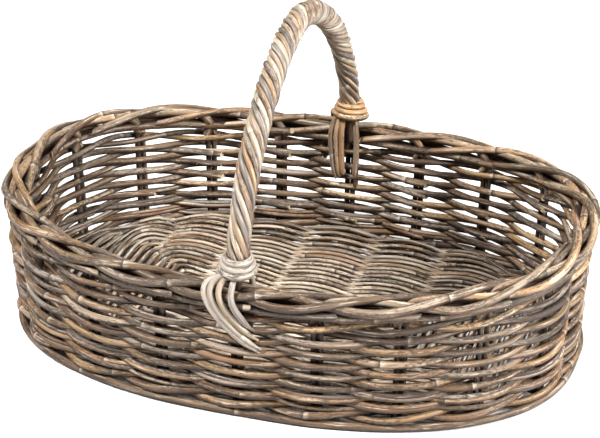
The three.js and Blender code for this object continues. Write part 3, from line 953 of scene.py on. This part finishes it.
for row in range(ROW_COUNT):
    weave = Bundle()
    slot_name = ROW_SLOTS[row % 3]
    height = FIRST_ROW + row * ROW_PITCH
    for first, last in rod_cuts(rng.integers(3, 6), row * 3 % INTERVALS):
        # a rod starts and ends on the inside of a stake
        if (int(first) + row) % 2:
            first += 1
        if (int(last) + row) % 2:
            last += 1
        steps = int(60 * (last - first) + 60)
        where = np.linspace(first - ROW_LAPS[0], last + ROW_LAPS[1], steps)
        along = where * INTERVAL
        thick = rng.uniform(*ROW_THICKNESS)
        slack = rng.uniform(*ROW_SLACK)
        out = ROW_REACH * slack * plain_weave(where, row) + 1.3 * wander(along, 260.0)
        tuck = tuck_in(where, first, 0.25, 0.4)
        lift = 0.9 * wander(along, 190.0) + 0.9 * wander(along, 480.0)
        line = wall_point(where, height, out - 3.0 * tuck, lift - 2.2 * tuck)
        taper = rng.uniform(*ROW_TAPER), rng.uniform(*ROW_TAPER)
        radius = thick * np.linspace(*taper, len(where))
        name = slot_name if rng.random() < OWN_COLOUR_SHARE else ROW_SLOTS[rng.integers(3)]
        weave.add(line, radius, tint(name), step=5.5, tips=(0.8, 0.75), slant=0.8)
    if row < FILLED_ROWS:
        # a thin rod beside the row closes the weave low in the wall
        where = np.linspace(row, row + INTERVALS + 0.3, 1200)
        along = where * INTERVAL
        out = ROW_REACH * plain_weave(where, row + 1) + 0.8 * wander(along, 260.0)
        line = wall_point(where, height - FILLER_DROP, out, 0.8 * wander(along, 200.0))
        weave.add(line, FILLER_RADIUS, tint("weaver_brown"), step=6.0)
    weave.build(f"Side_row_{row + 1:02d}", LOOKS[slot_name], f"side_weaver_{row + 1:02d}",
                slot_name)
print("side rows", ROW_COUNT)

# %% Rim wale
RIM_RADIUS = 3.7
RIM_WALE = {"height": 130.2, "reach": 8.6, "rise": 3.4, "tuck": 3.0, "slack": 0.6}
RIM_PALETTES = ("weaver_tan", "weaver_brown")
build_wales("Rim_wale", "weaver_brown", RIM_RADIUS, RIM_PALETTES, (4, 6), RIM_WALE)
print("rim wales", len(RIM_PALETTES))

# %% [markdown]
# ## Border
# The stakes' own ends make the border. Each one bends over at the inner edge, runs along the
# top, dips to the outer side, climbs back over its neighbours and is cut off inside. The other
# rod of each pair lies underneath and fills the roll.

# %% Border plait
BORDER_RADIUS = 5.6
# the strokes from these stakes run along the front towards the right end; their colour is
# darkened as painted shade, and the other strokes are lightened as painted light
PAINTED_SHADE_STAKES = (12, 13, 14, 15, 16)
PAINTED_SHADE_SCALE, PAINTED_LIGHT_SCALE = 0.72, 1.08
STEM_HEIGHT, STEM_OUT = 136.0, -2.0
STROKE_INTERVALS = 3.5
# phase in intervals, direction round the roll in degrees (0 out, 90 up, 180 in), distance
UPPER_STROKE = [
    (0.0, 255, 8.0), (0.04, 190, 4.5), (0.12, 130, 6.5), (0.3, 118, 8.6), (0.55, 112, 8.6),
    (0.8, 92, 7.0), (1.05, 58, 5.5), (1.35, 18, 9.5), (1.6, 6, 11.6), (1.9, 16, 12.3),
    (2.3, 52, 12.6), (2.7, 92, 12.8), (3.0, 124, 13.2), (3.3, 152, 13.8), (3.6, 176, 14.2),
    (3.78, 187, 14.2),
]
LOWER_STROKE = [
    (0.0, 265, 8.0), (0.12, 235, 9.5), (0.5, 214, 11.0), (1.0, 232, 10.0), (1.6, 262, 9.5),
    (2.2, 292, 10.0), (2.7, 318, 11.0), (3.2, 338, 11.5),
]


def roll_line(number, stroke):
    """A stroke's line from its stake, and the middle of the roll beside it."""
    fine = smooth_path(stroke, 12)
    where, distance = number + fine[:, 0], fine[:, 2]
    angle = np.radians(fine[:, 1])
    line = wall_point(where, BORDER_HEIGHT, distance * np.cos(angle), distance * np.sin(angle))
    return line, wall_point(where, BORDER_HEIGHT)


border = Bundle()
for number in range(INTERVALS):
    for stroke, lift, aside in ((UPPER_STROKE, 1.0, 0.04), (LOWER_STROKE, 0.5, -0.04)):
        line, hub = roll_line(number + rng.uniform(-0.04, 0.04), stroke)
        line[:, 2] += lift * wander(np.linspace(0, STROKE_INTERVALS * INTERVAL, len(line)), 170.0)
        radius = BORDER_RADIUS * rng.uniform(0.86, 1.06) * np.linspace(1.04, 0.86, len(line))
        # the rod starts down at its stake, inside the wall
        line = np.vstack([wall_point(number + aside, STEM_HEIGHT, STEM_OUT), line])
        radius = np.append(radius[0], radius)
        # painted shade on the strokes along the front right, painted light on the rest; the hub
        # gives painted shade on each stroke's side facing the roll's middle
        shade = PAINTED_SHADE_SCALE if number in PAINTED_SHADE_STAKES else PAINTED_LIGHT_SCALE
        colour = tuple(np.array(tint("border")) * shade)
        border.add(line, radius, colour, sides=12, slant=1.2, tips=(1.0, 0.9),
                   hub=np.vstack([hub[:1], hub]))
border.build("Rolled_border", LOOKS["border_rattan"], "rolled_border", "border_rattan")
print("border faces", len(border.faces))

# %% [markdown]
# ## Handle
# Eight strands are laid round a core in an arch over the width. The rope is slimmer and the
# strands lie steeper at the feet, and fuller and flatter-laid over the top.

# %% Arch
HALF_SPAN = 222.0
SPRING = 183.0
ARCH_TOP = 397.0
ARCH_POWER = 1.72
STRAND_COUNT = 8
FULL_FROM = 250.0
FOOT_TURN, TOP_TURN = 150.0, 74.0
FOOT_REACH, TOP_REACH = 9.7, 11.2
STRAND_PACKING = 1.06


def arch_line(bottom, steps=1200):
    """The handle's middle line, from the front foot over the top to the back foot."""
    angle = np.linspace(0, np.pi, steps)
    y = -HALF_SPAN * signed_power(np.cos(angle), 2 / ARCH_POWER)
    z = SPRING + (ARCH_TOP - SPRING) * np.abs(np.sin(angle)) ** (2 / ARCH_POWER)
    return np.vstack([
        [0, -HALF_SPAN, bottom], np.stack([np.zeros(steps), y, z], 1), [0, HALF_SPAN, bottom]
    ])


def even_line(line, step):
    run = measured(line)
    even = np.linspace(0, run[-1], int(run[-1] / step))
    return sampled(line, run, even), even


arch, arch_run = even_line(arch_line(180.0), 1.5)
arch_way = np.gradient(arch, axis=0)
arch_way /= np.linalg.norm(arch_way, axis=1, keepdims=True)
arch_across = np.cross(arch_way, [1.0, 0.0, 0.0])
from_foot = np.minimum(arch_run, arch_run[-1] - arch_run)
fullness = np.clip(from_foot / FULL_FROM, 0, 1) ** 0.9
turn_length = FOOT_TURN + (TOP_TURN - FOOT_TURN) * fullness
turned = np.concatenate([[0.0], np.cumsum(np.diff(arch_run) / turn_length[1:])])
rope_reach = FOOT_REACH + (TOP_REACH - FOOT_REACH) * fullness
lay = np.arctan(2 * np.pi * rope_reach / turn_length)
strand_radius = np.pi * rope_reach * np.cos(lay) / STRAND_COUNT * STRAND_PACKING
print("strand radius", strand_radius.min().round(2), strand_radius.max().round(2))

for index in range(STRAND_COUNT):
    rope = Bundle()
    angle = 2 * np.pi * (index / STRAND_COUNT - turned)
    reach = rope_reach + rng.uniform(-0.5, 0.5) + 0.45 * wander(arch_run, 90.0)
    line = (
        arch
        + (reach * np.cos(angle))[:, None] * np.array([1.0, 0.0, 0.0])
        + (reach * np.sin(angle))[:, None] * arch_across
    )
    colour = PALETTES["strand"][index % len(PALETTES["strand"])]
    # hub=arch gives painted shade on each strand's side that faces the core
    rope.add(line, strand_radius * rng.uniform(0.88, 1.0), colour, sides=12, step=3.5,
             wobble=0.03, knuckle=0.02, hub=arch)
    rope.build(f"Handle_strand_{index + 1}", LOOKS["peeled_rattan"],
               f"handle_strand_{index + 1}", "peeled_rattan")

# %% Core
CORE_RADIUS, CORE_BOTTOM = 6.2, 148.0
FOOT_STAKES = {-1: 15, 1: 5}
STUB_RADIUS, STUB_OUT, STUB_ASIDE = 3.6, -7.5, 9.5
STUB_HEIGHTS = (78, 105, 130, 150)

core = Bundle()
core_line, _ = even_line(arch_line(CORE_BOTTOM), 4.0)
core.add(core_line, CORE_RADIUS, tint("core"), sides=10, step=8.0)
for side, number in FOOT_STAKES.items():
    # a short stub stands beside the core at each foot
    stub = np.array([wall_point(number, height, STUB_OUT) for height in STUB_HEIGHTS])
    stub[:, 0] += STUB_ASIDE * side
    top = [[7.0 * side, side * (HALF_SPAN - 4), 186.0]]
    core.add(smooth_path(np.vstack([stub, top])), STUB_RADIUS, tint("core"), step=6.0)
core.build("Handle_core", LOOKS["handle_core_rattan"], "handle_core", "handle_core_rattan")
print("core and stubs", 1 + len(FOOT_STAKES))

# %% [markdown]
# ## Collars and tails
# Each foot of the rope is bound with three turns of rod that widen downwards. The strands' own
# tails leave the binding, go out over the border with a knee and are tucked into the weave.

# %% Collars
COLLAR_ROD = 4.6
COLLAR_TURNS = 3.25
COLLAR_BOTTOM, COLLAR_PITCH = 182.0, 6.4
COLLAR_REACH, COLLAR_TAPER = 20.0, 2.3
COLLAR_TILT, COLLAR_START = 0.12, 0.9


def collar(name, side, palette, slot_name):
    bundle = Bundle()
    turn = np.linspace(0, COLLAR_TURNS, 260)
    angle = (COLLAR_START if side > 0 else math.pi + COLLAR_START) - 2 * np.pi * turn
    reach = COLLAR_REACH - COLLAR_TAPER * turn
    foot_y = side * HALF_SPAN
    height = COLLAR_BOTTOM + COLLAR_PITCH * turn
    height = height - COLLAR_TILT * reach * np.sin(angle) * side
    line = np.stack([reach * np.cos(angle), foot_y + reach * np.sin(angle), height], 1)
    # the hub line gives painted shade on the collar rod's side that faces the rope
    bundle.add(line, COLLAR_ROD, PALETTES[palette][0], sides=12, step=2.5, wobble=0.03,
               knuckle=0.0, spacing=900.0, tips=(0.7, 0.6), hub=line * [0, 0, 1] + [0, foot_y, 0])
    bundle.build(name.capitalize(), LOOKS[slot_name], name, slot_name)


collar("collar_front", -1, "binding", "peeled_rattan")
collar("collar_back", 1, "golden", "golden_rattan")
print("collar rod", COLLAR_ROD, "turns", COLLAR_TURNS)

# %% Tails
TAIL_RADIUS = 3.8
TAIL_PLACES = [-30.0, -23.0, -13.0, 1.0]
OUTER_ENDS = [91.0, 95.0, 107.0, 119.0]
TAIL_SWEEPS = [60.0, 55.0, 42.0, 24.0]
BACK_SWEEP = 0.4
INNER_PLACES = [-22.0, -14.5, -7.5, 13.0]
KNEE_HEIGHT = 167.0
# share of the way from the knee to the outer end, distance out of the wall
OUTER_LINE = [(0.0, 18.5), (0.16, 21.5), (0.36, 21.0), (0.6, 18.0), (0.82, 14.5), (1.0, 9.0)]
# share of the tail's place along the border, distance out of the wall, height
INNER_LINE = [
    (0.95, -22.5, 166), (1.0, -22.0, 152), (0.96, -20.0, 132), (0.87, -18.5, 114),
    (0.76, -17.0, 102),
]


def tail(side, place, inner_place, order):
    """An outer and an inner tail from the collar, at their places along the border."""
    bundle = Bundle()
    palette = "peeled" if side < 0 else "golden"
    place, inner_place = -side * place, -side * inner_place

    def at(along, out, height):
        return wall_point(FOOT_STAKES[side] + along / INTERVAL, min(height, BORDER_HEIGHT), out,
                          max(0.0, height - BORDER_HEIGHT))

    neck = place * 0.5
    end, sweep = OUTER_ENDS[order], TAIL_SWEEPS[order] * (1.0 if side < 0 else BACK_SWEEP)
    outer = [at(neck * 0.9, -2.0, 190), at(neck, 4.0, 183), at(place * 0.93, 12.0, 176)]
    for share, out in OUTER_LINE:
        aside = sweep * (0.35 * share + 0.65 * share**1.9)
        outer.append(at(place + aside, out, KNEE_HEIGHT + (end - KNEE_HEIGHT) * share))
    bundle.add(smooth_path(outer), TAIL_RADIUS, tint(palette), sides=12, step=3.0, wobble=0.04,
               knuckle=0.02, tips=(0.8, 0.35), tip_length=26.0)
    neck = inner_place * 0.75
    inner = [at(neck * 0.8, -14.0, 190), at(neck, -19.0, 181)]
    inner += [at(inner_place * share, out, height) for share, out, height in INNER_LINE]
    inner.append(at(inner_place * 0.68, -15.0, 94 + 4 * order))
    bundle.add(smooth_path(inner), TAIL_RADIUS * 0.95, tint(palette), sides=10, step=3.0,
               wobble=0.04, knuckle=0.02, tips=(0.8, 0.7))
    return bundle


for side, label in ((-1, "front"), (1, "back")):
    for index, (place, inner_place) in enumerate(zip(TAIL_PLACES, INNER_PLACES)):
        made = tail(side, place, inner_place, index)
        made.build(f"Tail_{label}_{index + 1}", LOOKS["peeled_rattan"],
                   f"lashing_{label}_{index + 1}", "peeled_rattan")
print("tails", 2 * len(TAIL_PLACES))
